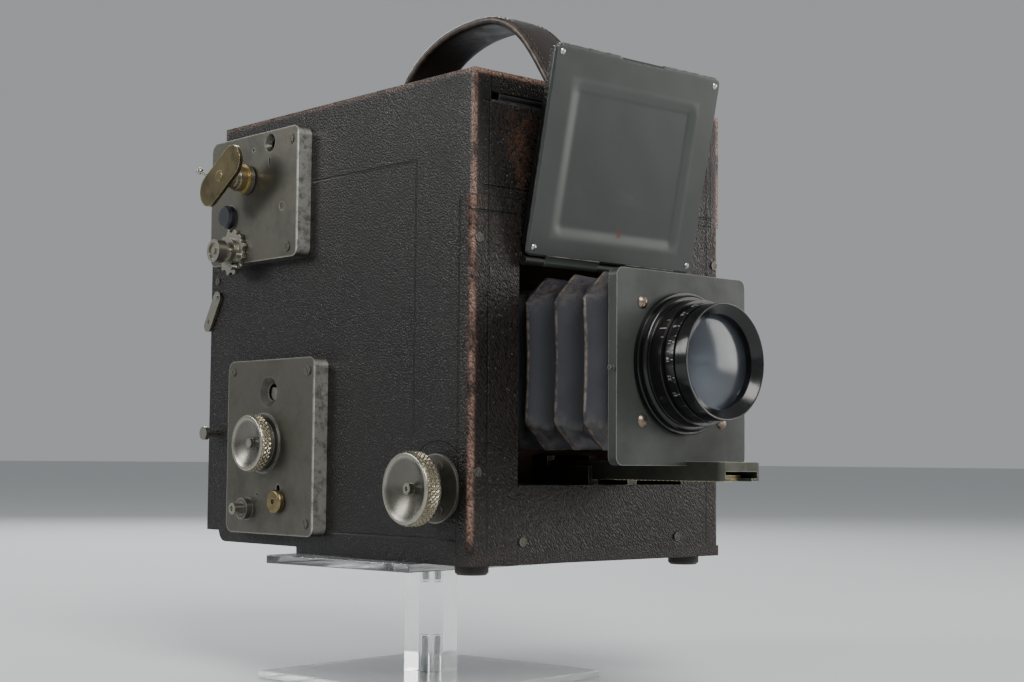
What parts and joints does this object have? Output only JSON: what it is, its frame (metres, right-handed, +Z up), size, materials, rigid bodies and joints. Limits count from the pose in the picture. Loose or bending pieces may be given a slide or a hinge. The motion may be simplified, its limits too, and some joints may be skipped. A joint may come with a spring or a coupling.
{
  "type": "film camera on tripod",
  "caption": "Antique leather-covered box reflex camera with bellows and lens racked out, front door up and strap on top, on a clear post stand.",
  "frame": {"origin": "centre of the stand's base plate, on its underside", "axes": "+Z up; the lens looks towards -Y; the controls are on the -X side; the stand is turned 7.5 degrees about +Z under the camera"},
  "size_m": [0.1494, 0.2337, 0.2625],
  "materials": {
    "leather_black": "fine-grained black covering, worn brown at the edges",
    "leather_brown": "dark brown-black strap leather",
    "bellows_cloth": "blue-black folded bellows skin, tan at the folds",
    "wood_brown": "dark stained",
    "paint_grey": "dark grey-green, worn",
    "paint_black": "gloss black, worn at the rims",
    "gunmetal": "dull olive-grey plate",
    "nickel": "aged nickel",
    "brass": "aged brass",
    "steel": "bright steel",
    "rubber": "dark rubber",
    "glass": "clear",
    "frosted": "ground",
    "mirror": "silvered",
    "cloth_black": "black cloth",
    "acrylic": "clear acrylic"
  },
  "bodies": {
    "case": {"base_panel": "leather_black", "floor_board": "wood_brown", "side_wall_left": "leather_black", "side_wall_right": "leather_black", "front_frame": "leather_black", "front_upper_panel": "leather_black", "top_rear_panel": "leather_black", "back_frame": "leather_black", "plate_holder": "leather_black", "feet": "rubber", "tripod_bush": "brass", "case_screws": "nickel", "case_hinges": "gunmetal", "focusing_hood": "cloth_black", "ground_glass_frame": "wood_brown", "ground_glass": "frosted", "bellows": "bellows_cloth", "bellows_frame": "wood_brown", "track_guide": "gunmetal", "knob_escutcheon": "gunmetal", "mirror_box": "wood_brown", "shutter_curtain": "cloth_black", "upper_cover": "gunmetal", "lower_cover": "gunmetal", "stand_base": "acrylic", "stand_post": "acrylic", "stand_top_plate": "acrylic", "stand_screws": "steel"},
    "standard": {"lens_board": "paint_grey", "lens_board_screws": "nickel", "lens_flange": "paint_black", "lens_barrel": "paint_black", "front_element": "glass", "focus_track": "gunmetal", "focus_rack": "brass"},
    "aperture": {"aperture_ring": "paint_black"},
    "focus_drive": {"focus_knob": "nickel", "pinion_shaft": "steel"},
    "door": {"front_door": "paint_grey", "door_leather": "leather_black", "door_rivets": "steel"},
    "lid": {"hood_lid": "leather_black", "carrying_strap": "leather_brown", "strap_brackets": "gunmetal"},
    "key": {"upper_roller": "brass", "winding_key": "brass"},
    "dial": {"curtain_dial": "nickel"},
    "tension": {"tension_knob": "nickel", "tension_dial": "nickel"},
    "lower_shaft": {"lower_roller": "brass"},
    "brass_slider": {"brass_button": "brass"},
    "stud": {"stud_button": "nickel"},
    "dark_push": {"dark_button": "paint_black"},
    "lever": {"release_lever": "nickel"},
    "setting": {"setting_knob": "nickel"},
    "pin": {"pull_pin": "nickel"},
    "latch": {"back_latch": "nickel"},
    "slide": {"dark_slide": "paint_black"},
    "mirror": {"mirror_frame": "paint_black", "mirror_glass": "mirror"}
  },
  "joints": [
    {"name": "focus_slide", "type": "slide", "parent": "case", "child": "standard", "axis": [0, -1, 0], "range_m": [-0.062, 0.02], "deforming": ["bellows"]},
    {"name": "focus_knob_turn", "type": "hinge", "parent": "case", "child": "focus_drive", "pos_m": [-0.047, -0.053, 0.0747], "axis": [1, 0, 0], "range_deg": [-1017, 329]},
    {"name": "aperture_turn", "type": "hinge", "parent": "standard", "child": "aperture", "pos_m": [0.0235, -0.123, 0.1195], "axis": [0, -1, 0], "range_deg": [-20, 85]},
    {"name": "door_swing", "type": "hinge", "parent": "case", "child": "door", "pos_m": [0.0235, -0.073, 0.1562], "axis": [1, 0, 0], "range_deg": [-10, 76]},
    {"name": "lid_swing", "type": "hinge", "parent": "case", "child": "lid", "pos_m": [0.0235, -0.0694, 0.2143], "axis": [1, 0, 0], "range_deg": [0, 90]},
    {"name": "key_turn", "type": "hinge", "parent": "case", "child": "key", "pos_m": [-0.047, 0.0636, 0.198], "axis": [1, 0, 0], "range_deg": [0, 720]},
    {"name": "dial_turn", "type": "hinge", "parent": "case", "child": "dial", "pos_m": [-0.043, 0.0456, 0.198], "axis": [1, 0, 0], "range_deg": [-241, 1]},
    {"name": "tension_turn", "type": "hinge", "parent": "case", "child": "tension", "pos_m": [-0.047, 0.0488, 0.0908], "axis": [1, 0, 0], "range_deg": [0, 300]},
    {"name": "roller_turn", "type": "hinge", "parent": "case", "child": "lower_shaft", "pos_m": [-0.047, 0.07873, 0.06905], "axis": [1, 0, 0], "range_deg": [-1007, 1]},
    {"name": "brass_slide", "type": "slide", "parent": "case", "child": "brass_slider", "axis": [0, 0, 1], "range_m": [0, 0.005]},
    {"name": "stud_press", "type": "slide", "parent": "case", "child": "stud", "axis": [1, 0, 0], "range_m": [0, 0.002], "stiffness_N_per_m": 400, "springref_m": -0.001},
    {"name": "dark_press", "type": "slide", "parent": "case", "child": "dark_push", "axis": [1, 0, 0], "range_m": [0, 0.002], "stiffness_N_per_m": 400, "springref_m": -0.001},
    {"name": "lever_swing", "type": "hinge", "parent": "case", "child": "lever", "pos_m": [-0.048, 0.086, 0.2], "axis": [1, 0, 0], "range_deg": [-25, 15]},
    {"name": "setting_turn", "type": "hinge", "parent": "case", "child": "setting", "pos_m": [-0.048, 0.0725, 0.1688], "axis": [1, 0, 0], "range_deg": [0, 180]},
    {"name": "pin_pull", "type": "slide", "parent": "case", "child": "pin", "axis": [-1, 0, 0], "range_m": [0, 0.004], "stiffness_N_per_m": 400, "springref_m": -0.001},
    {"name": "latch_turn", "type": "hinge", "parent": "case", "child": "latch", "pos_m": [-0.042, 0.093, 0.152], "axis": [1, 0, 0], "range_deg": [0, 100]},
    {"name": "slide_pull", "type": "slide", "parent": "case", "child": "slide", "axis": [0, 0, 1], "range_m": [0, 0.12]},
    {"name": "mirror_swing", "type": "hinge", "parent": "case", "child": "mirror", "pos_m": [0.0235, 0.079, 0.181], "axis": [-1, 0, 0], "range_deg": [0, 45]}
  ],
  "couplings": [
    {"joint": "focus_knob_turn", "follows": "focus_slide", "rad_per_m": 285.71},
    {"joint": "dial_turn", "follows": "key_turn", "ratio": -0.33333},
    {"joint": "roller_turn", "follows": "tension_turn", "ratio": -3.3529}
  ]
}
